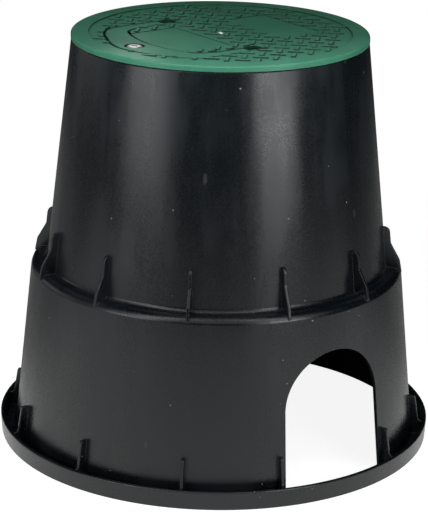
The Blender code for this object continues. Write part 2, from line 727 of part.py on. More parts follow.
def pocket_floor():
    """Depth of a hinge pocket, below the lid's top."""
    return pivot_depth + NECK_RADIUS + SEAT_GAP


def lid_trough(lid):
    """The room for the handle, its hinge pockets and pin holes, and the lock screw's seat."""
    above = LID_EDGE
    trough = slab("handle_trough", handle_outline(SLOT_GAP), -trough_floor, above)
    boolean(lid, tool("handle_trough", trough, lid_place), "DIFFERENCE")
    pocket = pocket_mesh("hinge_pocket", 0, -pocket_floor(), above)
    boolean(lid, tool("hinge_pockets", on_each_arm(pocket, "hinge_pockets"), lid_place), "DIFFERENCE")
    seat_top = head_underside - SEAT_GAP - OVERALL_HEIGHT
    seat_foot = -trough_floor - TROUGH_WALL / 2
    seat = cylinder_mesh("screw_seat", SCREW_HEAD_RADIUS + SEAT_LIP, seat_foot, seat_top)
    boolean(lid, tool("screw_seat", seat, lock_place), "UNION")
    hole = cylinder_mesh("screw_hole", SCREW_RADIUS + SCREW_CLEARANCE, -2 * trough_bottom, above)
    boolean(lid, tool("screw_hole", hole, lock_place), "DIFFERENCE")
    bearing_length = 2 * (pocket_half_width + PIN_GRIP + PIN_CLEARANCE)
    bearing = hinge_pin_mesh("bearing", PIN_RADIUS + PIN_CLEARANCE, bearing_length)
    boolean(lid, tool("bearings", on_each_arm(bearing, "bearings"), hinge_place), "DIFFERENCE")


def make_lid():
    lid = place(turned("lid", lid_profile(), closed=False), PARTS, lid_place)
    lid_underside(lid)
    lid_tread(lid)
    lid_trough(lid)
    finish_part(lid, GREEN_PLASTIC)
    return lid


# Lock screw and nut
def make_screw():
    """A low round head with a six-sided socket, on a plain shank; the thread is left out."""
    end = lug_foot - SCREW_STICKOUT - head_underside - SCREW_HEAD_HEIGHT
    profile = rounded((
        (0, 0, 0),
        (SCREW_HEAD_RADIUS - SCREW_HEAD_DOME / 3, 0, SCREW_HEAD_ROUND),
        (SCREW_HEAD_RADIUS, -SCREW_HEAD_DOME, SCREW_HEAD_ROUND / 2),
        (SCREW_HEAD_RADIUS, -SCREW_HEAD_HEIGHT, 0),
        (SCREW_RADIUS, -SCREW_HEAD_HEIGHT, 0),
        (SCREW_RADIUS, end + SCREW_TIP, 0),
        (SCREW_RADIUS - SCREW_TIP, end, 0),
        (0, end, 0),
    ))
    head_top = (0, -lock_offset, OVERALL_HEIGHT - SCREW_HEAD_SINK)
    screw = place(turned("lock_screw", profile, closed=False, steps=ROUND_STEPS), PARTS, head_top)
    socket = cylinder_mesh("key_socket", SOCKET_RADIUS, -SOCKET_DEPTH, SCREW_HEAD_HEIGHT, 6)
    boolean(screw, tool("key_socket", socket, head_top), "DIFFERENCE")
    finish_part(screw, STAINLESS)
    return screw


def make_nut():
    """A hexagon nut, held in the pocket under the lug."""
    nut_place = (0, -lock_offset, lug_foot + NUT_CLEARANCE)
    hexagon = cylinder_mesh("lock_nut", nut_corner_radius, 0, NUT_HEIGHT, 6)
    nut = place(bpy.data.objects.new("lock_nut", hexagon), PARTS, nut_place)
    thread = cylinder_mesh("nut_thread", SCREW_RADIUS + SCREW_CLEARANCE, -NUT_HEIGHT, 2 * NUT_HEIGHT)
    boolean(nut, tool("nut_thread", thread, nut_place), "DIFFERENCE")
    finish_part(nut, ZINC)
    return nut


make_housing()
make_lid()
make_handle()
make_screw()
make_nut()
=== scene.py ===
# A round irrigation valve box: black housing, green lid with a folding carry handle, lock
# screw and nut. Metres, +Z up. The pipe runs through the two arches along X, and the carry
# handle lies folded towards -Y.
import bmesh
import bpy
from math import acos, asin, atan2, cos, hypot, pi, radians, sin, tan
from mathutils import Matrix, Vector


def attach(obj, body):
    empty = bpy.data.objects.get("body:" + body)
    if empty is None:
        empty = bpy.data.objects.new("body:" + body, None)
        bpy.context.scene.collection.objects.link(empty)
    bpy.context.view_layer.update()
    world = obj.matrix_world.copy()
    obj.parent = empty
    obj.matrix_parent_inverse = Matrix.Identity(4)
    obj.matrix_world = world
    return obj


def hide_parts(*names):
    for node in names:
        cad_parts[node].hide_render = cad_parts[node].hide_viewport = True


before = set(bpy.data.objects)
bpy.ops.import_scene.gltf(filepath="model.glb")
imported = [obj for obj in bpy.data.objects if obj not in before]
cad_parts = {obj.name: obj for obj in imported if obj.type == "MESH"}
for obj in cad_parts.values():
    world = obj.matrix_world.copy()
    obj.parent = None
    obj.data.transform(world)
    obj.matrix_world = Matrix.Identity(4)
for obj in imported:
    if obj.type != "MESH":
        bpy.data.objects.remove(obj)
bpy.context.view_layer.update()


# ------------------------------------------------------------
# Housing. Two cones, one on the other, with a flanged foot: a single black polyethylene
# injection moulding with one wall thickness. Twelve fins stiffen the ledge and twelve the
# foot channel, a pipe arch opens each side, and a lug inside the mouth takes the lock screw.
overall_height = 0.2286
seat_gap = 0.0003  # air left where one piece rests on another
wall = 0.0022
mouth_radius = 0.0810
upper_foot_radius = 0.0948
lower_top_radius = 0.1031
lower_foot_radius = 0.1133
ledge_height = 0.1002
shoulder_round = 0.0042
foot_fillet = 0.0024
mouth_lip_round = 0.0004
channel_width = 0.0060
channel_fillet = 0.0015
floor_thickness = 0.0022
rim_height = 0.0104
rim_wall = 0.0022
rim_lean = 0.0006
rim_round = 0.0008
inner_foot_round = 0.0003
lid_edge = 0.0033  # how thick the lid is at its edge
mouth_height = overall_height - lid_edge - seat_gap
rim_inner_radius = lower_foot_radius + channel_width
base_radius = rim_inner_radius + rim_wall

housing_turn_steps = 192
corner_steps = 8  # in a right angle
edge_steps = 3  # in the rounded edge of a plate
longest_facet = 0.012
sharp_angle = radians(32)


def soft_corners(corners):
    """Corners (x, y, radius) as points, each corner rounded."""
    points = []
    for index, (x, y, radius) in enumerate(corners):
        corner = Vector((x, y))
        if radius <= 0:
            points.append(corner)
            continue
        before = (Vector(corners[index - 1][:2]) - corner).normalized()
        after = (Vector(corners[(index + 1) % len(corners)][:2]) - corner).normalized()
        half = acos(max(-1.0, min(1.0, before.dot(after)))) / 2
        middle = corner + (before + after).normalized() * radius / sin(half)
        first = corner + before * radius / tan(half) - middle
        last = corner + after * radius / tan(half) - middle
        sweep = atan2(first.x * last.y - first.y * last.x, first.dot(last))
        steps = max(2, round(abs(sweep) * corner_steps / (pi / 2)))
        for step in range(steps + 1):
            points.append(middle + Matrix.Rotation(sweep * step / steps, 2) @ first)
    return points


def evenly_split(points, longest):
    """The same closed outline with its long straight runs split."""
    result = []
    for start, end in zip(points, points[1:] + points[:1]):
        parts = max(1, int((end - start).length / longest))
        result += [start.lerp(end, k / parts) for k in range(parts)]
    return result


def grown(outline, distance):
    """A closed outline moved outwards all round; a negative distance moves it inwards."""
    count = len(outline)
    area = sum(a.x * b.y - b.x * a.y for a, b in zip(outline, outline[1:] + outline[:1]))
    side = 1 if area > 0 else -1
    result = []
    for k, point in enumerate(outline):
        first = (point - outline[k - 1]).normalized()
        second = (outline[(k + 1) % count] - point).normalized()
        normal = Vector((first.y + second.y, -first.x - second.x)).normalized() * side
        bend = max(0.5, normal.dot(Vector((first.y, -first.x)) * side))
        result.append(point + normal * distance / bend)
    return result


def mesh_piece(name, bm):
    """A linked object from a bmesh, its faces turned outwards."""
    bmesh.ops.recalc_face_normals(bm, faces=bm.faces)
    mesh = bpy.data.meshes.new(name)
    bm.to_mesh(mesh)
    bm.free()
    piece = bpy.data.objects.new(name, mesh)
    bpy.context.scene.collection.objects.link(piece)
    return piece


def skinned(name, loops, ring=False):
    """A closed body skinned over loops of points: capped at its ends, or joined into a ring."""
    bm = bmesh.new()
    rows = [[bm.verts.new(point) for point in loop] for loop in loops]
    pairs = list(zip(rows, rows[1:] + rows[:1])) if ring else list(zip(rows, rows[1:]))
    for low, high in pairs:
        for k in range(len(low)):
            n = (k + 1) % len(low)
            bm.faces.new((low[k], low[n], high[n], high[k]))
    if not ring:
        bm.faces.new(rows[0][::-1])
        bm.faces.new(rows[-1])
    return mesh_piece(name, bm)


def turned(name, profile, steps, hollow=False):
    """A turned body. A hollow one is a closed section; a solid one is capped at both ends."""
    if hollow:
        loops = []
        for k in range(steps):
            angle = 2 * pi * k / steps
            loops.append([(p[0] * cos(angle), p[0] * sin(angle), p[1]) for p in profile])
        return skinned(name, loops, ring=True)
    angles = [2 * pi * (k + 0.5) / steps for k in range(steps)]
    return skinned(name, [[(p[0] * cos(a), p[0] * sin(a), p[1]) for a in angles] for p in profile])


def edge_layers(thickness, edge):
    """Pairs (height, inset) of a plate's layers, from one face to the other."""
    turns = [pi / 2 * k / edge_steps for k in range(edge_steps + 1)]
    half = [(thickness / 2 - edge * (1 - cos(a)), edge * (1 - sin(a))) for a in turns]
    return [(-height, inset) for height, inset in half] + half[::-1]


def upright_plate(name, outline, thickness, edge):
    """A plate whose outline gives radius and height, standing in the plane of X and Z."""
    loops = []
    for across, inset in edge_layers(thickness, edge):
        loops.append([(p.x, across, p.y) for p in grown(outline, -inset)])
    return skinned(name, loops)


def flat_plate(name, outline, bottom, top):
    return skinned(name, [[(p[0], p[1], z) for p in outline] for z in (bottom, top)])


def circle(radius, count, centre=(0, 0)):
    angles = [2 * pi * k / count for k in range(count)]
    return [Vector((centre[0] + radius * cos(a), centre[1] + radius * sin(a))) for a in angles]


def joined(name, pieces):
    """One piece from several that don't touch each other."""
    bm = bmesh.new()
    for piece in pieces:
        piece.data.transform(piece.matrix_basis)
        bm.from_mesh(piece.data)
        bpy.data.objects.remove(piece)
    return mesh_piece(name, bm)


def copies(piece, matrices):
    """A piece repeated at each matrix, in one piece."""
    bm = bmesh.new()
    for matrix in matrices:
        mesh = piece.data.copy()
        mesh.transform(matrix)
        bm.from_mesh(mesh)
        bpy.data.meshes.remove(mesh)
    name = piece.name
    bpy.data.objects.remove(piece)
    return mesh_piece(name + "_set", bm)


def around(piece, angles):
    """A piece repeated at each angle round the box's axis."""
    return copies(piece, [Matrix.Rotation(angle, 4, "Z") for angle in angles])


def worked(body, steps):
    """Adds and cuts the tools one after the other, and leaves one plain mesh."""
    for operation, tool in steps:
        modifier = body.modifiers.new(tool.name, "BOOLEAN")
        modifier.object = tool
        modifier.operation = operation
        modifier.solver = "EXACT"
        tool.hide_render = True
    graph = bpy.context.evaluated_depsgraph_get()
    mesh = bpy.data.meshes.new_from_object(body.evaluated_get(graph))
    body.modifiers.clear()
    body.data = mesh
    for operation, tool in steps:
        bpy.data.objects.remove(tool)
    return body


def shaded(piece, material):
    """Smooth faces with sharp edges kept; the large faces hold their own direction."""
    piece.data.shade_smooth()
    piece.data.set_sharp_from_angle(angle=sharp_angle)
    weighted = piece.modifiers.new("even_shading", "WEIGHTED_NORMAL")
    weighted.keep_sharp = True
    weighted.weight = 90
    graph = bpy.context.evaluated_depsgraph_get()
    mesh = bpy.data.meshes.new_from_object(piece.evaluated_get(graph))
    piece.modifiers.clear()
    piece.data = mesh
    piece.data.materials.clear()
    piece.data.materials.append(material)
    return piece


# the outer radius of each cone at a height
def lower_cone(height):
    return lower_foot_radius - (lower_foot_radius - lower_top_radius) * height / ledge_height


def upper_cone(height):
    rise = (height - ledge_height) / (mouth_height - ledge_height)
    return upper_foot_radius - (upper_foot_radius - mouth_radius) * rise


def housing_section():
    """The wall's section, down the outside from the mouth and up the inside."""
    under = ledge_height - wall
    corners = soft_corners((
        (mouth_radius, mouth_height, mouth_lip_round),
        (upper_foot_radius, ledge_height, foot_fillet),
        (lower_top_radius, ledge_height, shoulder_round),
        (lower_cone(floor_thickness), floor_thickness, channel_fillet),
        (rim_inner_radius - rim_lean, floor_thickness, channel_fillet),
        (rim_inner_radius, rim_height, rim_round),
        (base_radius, rim_height, rim_round),
        (base_radius - rim_lean, 0, rim_round),
        (lower_foot_radius - wall, 0, inner_foot_round),
        (lower_top_radius - wall, under, shoulder_round - wall),
        (upper_foot_radius - wall, under, foot_fillet + wall),
        (mouth_radius - wall, mouth_height, mouth_lip_round),
    ))
    return evenly_split(corners, longest_facet)


fin_count = 12
fin_thickness = 0.0018
fin_edge = 0.0004
step_fin_top = ledge_height + 0.0234
step_fin_knee = ledge_height + 0.0139
step_fin_hip = ledge_height + 0.0048
step_fin_foot = ledge_height - 0.0027
step_fin_reach = 0.0040
step_fin_top_round = 0.0034
step_fin_proud = 0.0006  # past the shoulder
step_fin_foot_round = 0.0007
foot_fin_top = 0.0248
foot_fin_reach = 0.0039
foot_fin_round = 0.0012
foot_fin_step = 0.0005  # from its slope down to the rim
foot_fin_sink = 0.0012  # into the rim


def step_fin():
    """A fin that ties the upper cone to the shoulder, with an S-shaped outer edge."""
    outline = soft_corners((
        (upper_cone(step_fin_top) - wall / 2, step_fin_top, 0),
        (upper_cone(step_fin_top) + step_fin_reach, step_fin_top, step_fin_top_round),
        (upper_cone(step_fin_knee) + step_fin_reach, step_fin_knee, step_fin_reach),
        (lower_top_radius - step_fin_proud, step_fin_hip, step_fin_reach),
        (lower_cone(step_fin_foot) + step_fin_proud, step_fin_foot, step_fin_foot_round),
        (lower_cone(step_fin_foot) - wall / 2, step_fin_foot, 0),
        (lower_top_radius - shoulder_round, ledge_height - wall / 2, 0),
        (upper_foot_radius - wall / 2, ledge_height - wall / 2, 0),
    ))
    return upright_plate("step_fin", outline, fin_thickness, fin_edge)


def foot_fin():
    """A fin in the foot channel, from the wall out to the upturned rim."""
    top_radius = lower_cone(foot_fin_top) + foot_fin_reach
    halfway = (top_radius + rim_inner_radius) / 2
    outline = soft_corners((
        (lower_cone(foot_fin_top) - wall / 2, foot_fin_top, 0),
        (top_radius, foot_fin_top, foot_fin_round),
        (halfway, rim_height + foot_fin_step, foot_fin_round),
        (rim_inner_radius + rim_wall / 2, rim_height - foot_fin_sink, 0),
        (rim_inner_radius, floor_thickness / 2, 0),
        (lower_foot_radius - wall / 2, floor_thickness / 2, 0),
    ))
    return upright_plate("foot_fin", outline, fin_thickness, fin_edge)


arch_half_width = 0.0326
arch_lean = 0.0015
arch_spring = 0.0461  # height at which the straight sides end
arch_fin_offset = 0.0031
arch_steps = 48
fin_angles = [2 * pi * (k + 0.5) / fin_count for k in range(fin_count)]


def foot_fin_angle(angle):
    """A foot fin that would meet an arch stands just beside it."""
    edge = asin((arch_half_width + arch_fin_offset) / lower_foot_radius)
    side = 0 if cos(angle) > 0 else pi
    lean = atan2(sin(angle - side), cos(angle - side))
    if abs(lean) < edge:
        return side + (edge if lean > 0 else -edge)
    return angle


def arch_passage():
    """The room for the pipe, kept short of the rim so that the rim runs on in front."""
    half_top = arch_half_width - arch_lean
    outline = [Vector((side * arch_half_width, floor_thickness)) for side in (-1, 1)]
    for step in range(arch_steps + 1):
        angle = pi * step / arch_steps
        outline.append(Vector((half_top * cos(angle), arch_spring + half_top * sin(angle))))
    ends = (-base_radius, base_radius)
    passage = skinned("arch_passage", [[(x, p.x, p.y) for p in outline] for x in ends])
    reach = lower_foot_radius + channel_width / 2
    section = [(reach, -rim_height), (reach, ledge_height)]
    limit = turned("arch_limit", section, housing_turn_steps)
    return worked(passage, [("INTERSECT", limit)])


lock_offset = 0.0567  # from the box's middle to the lock screw
trough_bottom = 0.0082  # under the lid's top
lug_height = 0.0140
lug_wall = 0.0017
shelf_thickness = 0.0026
shelf_inset = 0.0008
web_drop = 0.0240
web_lap = 0.0014
thin_edge = 0.0003
screw_bore = 0.0033
bore_steps = 32
bore_overrun = 0.014
round_steps = 48
nut_height = 0.0050
nut_half_flats = 0.0050
nut_clearance = 0.0003
nut_recess = 0.0006
at_lock = (0, -lock_offset)
lug_top = overall_height - trough_bottom - seat_gap
lug_foot = lug_top - lug_height
nut_pocket_radius = nut_half_flats / cos(pi / 6) + nut_clearance
lug_radius = nut_pocket_radius + lug_wall


def lug_steps():
    """The lug's boss, shelf and web, and then its bore and nut pocket."""
    shelf_bottom = lug_top - shelf_thickness
    shelf_middle = lug_top - shelf_thickness / 2
    root = upper_cone(lug_top) - wall / 2
    half = lug_radius - shelf_inset
    web_foot = shelf_bottom - web_drop
    web_start = lock_offset + lug_radius / 2
    boss = flat_plate("lug_boss", circle(lug_radius, round_steps, at_lock), lug_foot, lug_top)
    shelf_outline = [(-half, -root), (half, -root), (half, -lock_offset), (-half, -lock_offset)]
    shelf = flat_plate("lug_shelf", shelf_outline, shelf_bottom, lug_top)
    web_outline = [
        Vector((web_start, shelf_middle)),
        Vector((web_start, lug_foot + web_lap)),
        Vector((upper_cone(web_foot) - wall / 2, web_foot)),
        Vector((root, shelf_middle)),
    ]
    web = upright_plate("lug_web", web_outline, fin_thickness, thin_edge)
    web.data.transform(Matrix.Rotation(-pi / 2, 4, "Z"))
    below = lug_foot - bore_overrun
    bore_outline = circle(screw_bore, bore_steps, at_lock)
    bore = flat_plate("lug_bore", bore_outline, below, lug_top + bore_overrun)
    ceiling = lug_foot + nut_height + nut_recess
    pocket = flat_plate("nut_pocket", circle(nut_pocket_radius, 6, at_lock), below, ceiling)
    return [("UNION", boss), ("UNION", shelf), ("UNION", web),
            ("DIFFERENCE", bore), ("DIFFERENCE", pocket)]


def new_finish(name):
    """A material, its nodes, its shader and the place on the piece in metres."""
    material = bpy.data.materials.new(name)
    material.use_nodes = True
    tree = material.node_tree
    place = tree.nodes.new("ShaderNodeTexCoord").outputs["Object"]
    return material, tree, tree.nodes["Principled BSDF"], place


def fed(tree, node, sockets):
    """A node whose sockets each take a value or another node's output."""
    for key, value in sockets.items():
        if isinstance(value, bpy.types.NodeSocket):
            tree.links.new(value, node.inputs[key])
        else:
            node.inputs[key].default_value = value
    return node


def put(tree, kind, sockets, **settings):
    """A new node with its settings and sockets."""
    node = tree.nodes.new("ShaderNode" + kind)
    for key, value in settings.items():
        setattr(node, key, value)
    return fed(tree, node, sockets)


def measured(tree, operation, *vectors):
    """A number from vectors: the length of one, or the dot product of two."""
    return put(tree, "VectorMath", dict(enumerate(vectors)), operation=operation).outputs["Value"]


def grain(tree, place, scale, detail=3.0, roughness=0.55, stretch=(1, 1, 1)):
    """Noise in metres: scale is the number of blotches in a metre."""
    mapped = put(tree, "Mapping", {"Vector": place, "Scale": stretch})
    noise = put(tree, "TexNoise", {"Vector": mapped.outputs["Vector"], "Scale": scale,
                                   "Detail": detail, "Roughness": roughness})
    return noise.outputs["Fac"]


def eased(tree, value, low, high, to_low=0.0, to_high=1.0):
    """A value between low and high, brought smoothly to the range from to_low to to_high."""
    sockets = {"Value": value, "From Min": low, "From Max": high,
               "To Min": to_low, "To Max": to_high}
    return put(tree, "MapRange", sockets, interpolation_type="SMOOTHSTEP").outputs["Result"]


def combined(tree, first, second, operation="ADD"):
    """Two values added, or the larger one taken, and so on."""
    return put(tree, "Math", {0: first, 1: second}, operation=operation).outputs["Value"]


def times(tree, first, second):
    return combined(tree, first, second, "MULTIPLY")


def tinted(tree, factor, first, second):
    """Two colours mixed by a factor."""
    mix = put(tree, "Mix", {0: factor, 6: first, 7: second}, data_type="RGBA")
    return mix.outputs[2]


def flecks(tree, place, scale, size, stretch=(1, 1, 1), turn=(0, 0, 0)):
    """Scattered small marks; size is in cells. Returns 1 on a mark and 0 beside it."""
    mapped = put(tree, "Mapping", {"Vector": place, "Scale": stretch, "Rotation": turn})
    cells = put(tree, "TexVoronoi", {"Vector": mapped.outputs["Vector"], "Scale": scale})
    parts = put(tree, "SeparateColor", {"Color": cells.outputs["Color"]})
    reach = eased(tree, parts.outputs["Red"], 0.0, 1.0, 0.25 * size, size)
    gap = combined(tree, cells.outputs["Distance"], reach, "SUBTRACT")
    return eased(tree, gap, -0.4 * size, 0.0, 1.0, 0.0)


black_deep = (0.0034, 0.0054, 0.0068, 1)
black_hazy = (0.0075, 0.0105, 0.0128, 1)
scuff_grey = (0.09, 0.093, 0.097, 1)
dust_grey = (0.42, 0.43, 0.43, 1)
black_edge_round = 0.0006
black_wave_depth = 0.0005
pit_depth = 0.00004


def speckled(tree, rough, place, scale, spread, film, dulling):
    """Roughness with a fine speckle, duller under a film: dust, soil and painted shade."""
    speckle = eased(tree, grain(tree, place, scale, 2), 0.3, 0.7, -spread, spread)
    rough = combined(tree, rough, speckle)
    return combined(tree, rough, times(tree, film, dulling))


def moulded_skin(tree, edge_round, wave, wave_depth, pits):
    """Softened edges, then broad waves, then fine pits."""
    edges = put(tree, "Bevel", {"Radius": edge_round}, samples=4)
    waves = put(tree, "Bump", {"Height": wave, "Strength": 1.0, "Distance": wave_depth,
                               "Normal": edges.outputs["Normal"]})
    fine = put(tree, "Bump", {"Height": pits, "Strength": 0.5, "Distance": pit_depth,
                              "Normal": waves.outputs["Normal"]})
    return fine.outputs["Normal"]


def black_plastic_finish():
    """Satin black polyethylene: flow marks down the draw, a little haze, dust and scuffs."""
    material, tree, shader, place = new_finish("black_plastic_moulded")
    flow = grain(tree, place, 60, 4, 0.6, (1, 1, 0.10))
    cloud = grain(tree, place, 16, 3)
    haze = eased(tree, times(tree, flow, cloud), 0.15, 0.42)
    colour = tinted(tree, haze, black_deep, black_hazy)
    scuff = flecks(tree, place, 70, 0.10, (1, 1, 0.35), (0.35, 0.2, 0.0))
    colour = tinted(tree, times(tree, scuff, 0.35), colour, scuff_grey)
    dust = flecks(tree, place, 125, 0.062)
    colour = tinted(tree, dust, colour, dust_grey)

    rough = eased(tree, haze, 0.0, 1.0, 0.26, 0.36)
    rough = speckled(tree, rough, place, 900, 0.03, dust, 0.4)
    wave = grain(tree, place, 38, 2, 0.5, (1, 1, 0.16))
    pits = combined(tree, grain(tree, place, 1400, 3), times(tree, dust, 3.0))
    skin = moulded_skin(tree, black_edge_round, wave, black_wave_depth, pits)
    fed(tree, shader, {"Base Color": colour, "Roughness": rough, "Normal": skin,
                       "Specular IOR Level": 0.50})
    return material


black_plastic = black_plastic_finish()
housing = turned("housing_moulding", housing_section(), housing_turn_steps, hollow=True)
foot_angles = [foot_fin_angle(angle) for angle in fin_angles]
fins = joined("fins", [around(step_fin(), fin_angles), around(foot_fin(), foot_angles)])
worked(housing, [("UNION", fins), ("DIFFERENCE", arch_passage())] + lug_steps())
shaded(housing, black_plastic)
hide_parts("box_body")
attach(housing, "box")


# ------------------------------------------------------------
# Lid. One green polyethylene moulding that drops into the mouth: a flat ring round a sunken
# tread of short raised bars, two plain panels, a trough for the handle and a seat for the
# lock screw. Its skirt, ribs and hub are underneath. Heights here are from its top face.
lid_radius = 0.0812
lid_turn_steps = 192
tread_radius = lid_radius - 0.0096
tread_floor = 0.0009
skirt_depth = 0.0070
skirt_outer = mouth_radius - wall - 0.0005
skirt_inner = skirt_outer - 0.0020
hub_radius = 0.0200
hub_steps = 64
under_rib_thickness = 0.0018
under_rib_height = 0.0045
under_rib_lap = 0.0010
tub_wall = 0.0020
pocket_tub_wall = 0.0030
lip_round = 0.0002  # at the mouth of a recess, the eye or the key socket
lip_steps = 4

bar_pitch = 0.0116
bar_length = 0.0084
bar_width = 0.0024
bar_height = 0.0008
bar_row_start = 0.0174
bar_end_round = 0.0008
bar_reach = bar_length / 2 * cos(pi / 4) + 0.0003
bar_layers = (  # height, inset
    (-0.0004, -0.00005), (0.0000, 0.0), (0.00055, 0.00012),
    (0.00069, 0.00019), (0.00077, 0.00032), (bar_height, 0.00055),
)

handle_spread = 0.0391
arm_width = 0.0062
grip_width = 0.0176
handle_sink = 0.0009
handle_thickness = 0.0050
screw_head_height = 0.0033
screw_head_sink = 0.0008
seat_radius = 0.0050
seat_root = 0.0010
hinge_offset = 0.0066
hinge_depth = 0.0054
hinge_height = overall_height - hinge_depth
neck_length = 0.0054
neck_radius = 0.0023
pin_radius = 0.0019
pin_hold = 0.0016  # how far each end of a pin goes into its bearing
pin_steps = 24
bearing_gap = 0.0003
slot_gap = 0.0015
trough_floor = handle_sink + handle_thickness + seat_gap
pocket_half_width = arm_width / 2 + 0.0023
pocket_inset = 0.0005
pocket_round = 0.0020
handle_reach = lock_offset - hinge_offset
handle_line_steps = 8
handle_line_ratios = (  # across the spread, along the reach, growth to the grip
    (1.00, neck_length / handle_reach, 0.0),
    (1.00, 0.356, 0.00), (0.99, 0.527, 0.11), (0.91, 0.720, 0.38), (0.75, 0.825, 0.55),
    (0.53, 0.900, 0.66), (0.28, 0.965, 0.88), (0.00, 1.000, 1.00),
)

panel_depth = 0.0004
panel_round = 0.0006
panel_half_width = 2.5 * bar_pitch - bar_reach
back_panel = (bar_row_start + bar_reach, bar_row_start + 3 * bar_pitch - bar_reach)
front_panel = (-(lock_offset - grip_width / 2), -0.0123)


def shifted(piece, x=0.0, y=0.0, z=0.0):
    piece.data.transform(Matrix.Translation((x, y, z)))
    return piece


def handle_line():
    """Points (x, distance towards the handle, width) on a smooth line down the handle."""
    half = []
    for side, along, growth in handle_line_ratios:
        width = arm_width + growth * (grip_width - arm_width)
        half.append(Vector((side * handle_spread, hinge_offset + along * handle_reach, width)))
    stations = half + [Vector((-p.x, p.y, p.z)) for p in reversed(half[:-1])]
    ends = [2 * stations[0] - stations[1]] + stations + [2 * stations[-1] - stations[-2]]
    line = []
    for a, b, c, d in zip(ends, ends[1:], ends[2:], ends[3:]):
        for step in range(handle_line_steps):
            t = step / handle_line_steps
            line.append(0.5 * (2 * b + (c - a) * t + (2 * a - 5 * b + 4 * c - d) * t ** 2
                               + (3 * b - a - 3 * c + d) * t ** 3))
    line.append(stations[-1])
    return line


def handle_outline(margin):
    """The U of the handle seen from above, grown by a margin."""
    line = handle_line()
    outer = []
    inner = []
    for index, point in enumerate(line):
        ahead = line[min(index + 1, len(line) - 1)] - line[max(index - 1, 0)]
        normal = Vector((ahead.y, -ahead.x)).normalized()
        half = point.z / 2 + margin
        outer.append(Vector((point.x, point.y)) - normal * half)
        inner.append(Vector((point.x, point.y)) + normal * half)
    for side in (outer, inner):
        side[0].y -= margin
        side[-1].y -= margin
    return [Vector((point.x, -point.y)) for point in outer + inner[::-1]]


def box_outline(left, right, near, far, radius):
    return soft_corners(((left, near, radius), (right, near, radius),
                         (right, far, radius), (left, far, radius)))


def lipped_cutter(name, outline_at, floor, mouth):
    """A cutter with a rounded lip: outline_at gives its outline for a margin, and floor and
    mouth are depths."""
    layers = [(-floor, 0.0)]
    for k in range(lip_steps + 1):
        turn = pi / 2 * k / lip_steps
        layers.append((-mouth - lip_round * (1 - sin(turn)), lip_round * (1 - cos(turn))))
    layers.append((lid_edge, lip_round))
    return skinned(name, [[(p.x, p.y, z) for p in outline_at(margin)] for z, margin in layers])


def on_each_arm(piece):
    return copies(piece, [Matrix.Translation((side * handle_spread, 0, 0)) for side in (-1, 1)])


def lid_section():
    """Half of the lid's section, out along its top and back in underneath."""
    skirt_foot = -lid_edge - skirt_depth
    return soft_corners((
        (tread_radius - 0.0012, -tread_floor, 0),
        (tread_radius, -tread_floor, 0.0003),
        (tread_radius, 0, 0.0004),
        (lid_radius, 0, 0.0011),
        (lid_radius, -lid_edge, 0.0004),
        (skirt_outer, -lid_edge, 0.0003),
        (skirt_outer, skirt_foot, 0.0005),
        (skirt_inner, skirt_foot, 0.0005),
        (skirt_inner, -lid_edge, 0.0006),
        (skirt_inner - 0.0020, -lid_edge, 0),
    ))


def tread_bar():
    """One raised bar along X: drafted sides, rounded ends and a rounded top edge."""
    loops = []
    for height, inset in bar_layers:
        length = bar_length / 2 - inset
        width = bar_width / 2 - inset
        outline = box_outline(-length, length, -width, width, min(bar_end_round, width * 0.92))
        loops.append([(p.x, p.y, height) for p in outline])
    return skinned("tread_bar", loops)


def tread_places():
    """Bars on a square grid and on its cell centres, the second set turned across."""
    places = []
    count = int((tread_radius + bar_row_start) / bar_pitch) + 1
    for column in range(-count, count + 1):
        for row in range(-count, count + 1):
            for shift, turn in ((0.0, pi / 4), (0.5, -pi / 4)):
                x = (column + shift) * bar_pitch
                y = bar_row_start + (row + shift) * bar_pitch
                beside = abs(x) >= panel_half_width + bar_reach
                off_back = not back_panel[0] - bar_reach < y < back_panel[1] + bar_reach
                off_front = not front_panel[0] < y < front_panel[1] + bar_reach
                on_tread = hypot(x, y) < tread_radius - bar_length / 4
                if on_tread and (beside or (off_back and off_front)):
                    spot = Matrix.Translation((x, y, -tread_floor))
                    places.append(spot @ Matrix.Rotation(turn, 4, "Z"))
    return places


def pocket_outline(margin):
    """A hinge pocket seen from above, grown by a margin."""
    half = pocket_half_width + margin
    back = -hinge_offset + handle_thickness - pocket_inset + seat_gap + margin
    front = -hinge_offset - neck_length + slot_gap / 2 - margin
    return box_outline(-half, half, front, back, pocket_round + margin)


def panel_cutter(name, ends):
    """The cutter of one plain panel; ends are its lowest and highest Y."""
    def outline_at(margin):
        half = panel_half_width + margin
        return box_outline(-half, half, ends[0] - margin, ends[1] + margin, panel_round)

    return lipped_cutter(name, outline_at, tread_floor + panel_depth, tread_floor)


def under_ribs(bottom, top):
    inner = hub_radius - under_rib_thickness / 2
    outer = skirt_outer - under_rib_lap
    outline = [Vector(p) for p in ((inner, top), (inner, bottom), (outer, bottom), (outer, top))]
    rib = upright_plate("under_rib", outline, under_rib_thickness, thin_edge)
    return around(rib, fin_angles)


def hub_ring(bottom, top):
    inner = hub_radius - under_rib_thickness
    section = [Vector((hub_radius, bottom)), Vector((hub_radius, top)),
               Vector((inner, top)), Vector((inner, bottom))]
    hub = turned("hub_ring", section, hub_steps, hollow=True)
    hub.data.transform(Matrix.Rotation(pi / hub_steps, 4, "Z"))
    return hub


def pin_bearings():
    """The holes for the hinge pins, across each pocket."""
    bearing = flat_plate("bearing", circle(pin_radius + bearing_gap, pin_steps), -1, 1)
    half_length = pocket_half_width + pin_hold + bearing_gap
    lengthwise = Matrix.Scale(half_length, 4, (0, 0, 1))
    bearing.data.transform(Matrix.Rotation(pi / 2, 4, "Y") @ lengthwise)
    return shifted(on_each_arm(bearing), 0, -hinge_offset, -hinge_depth)


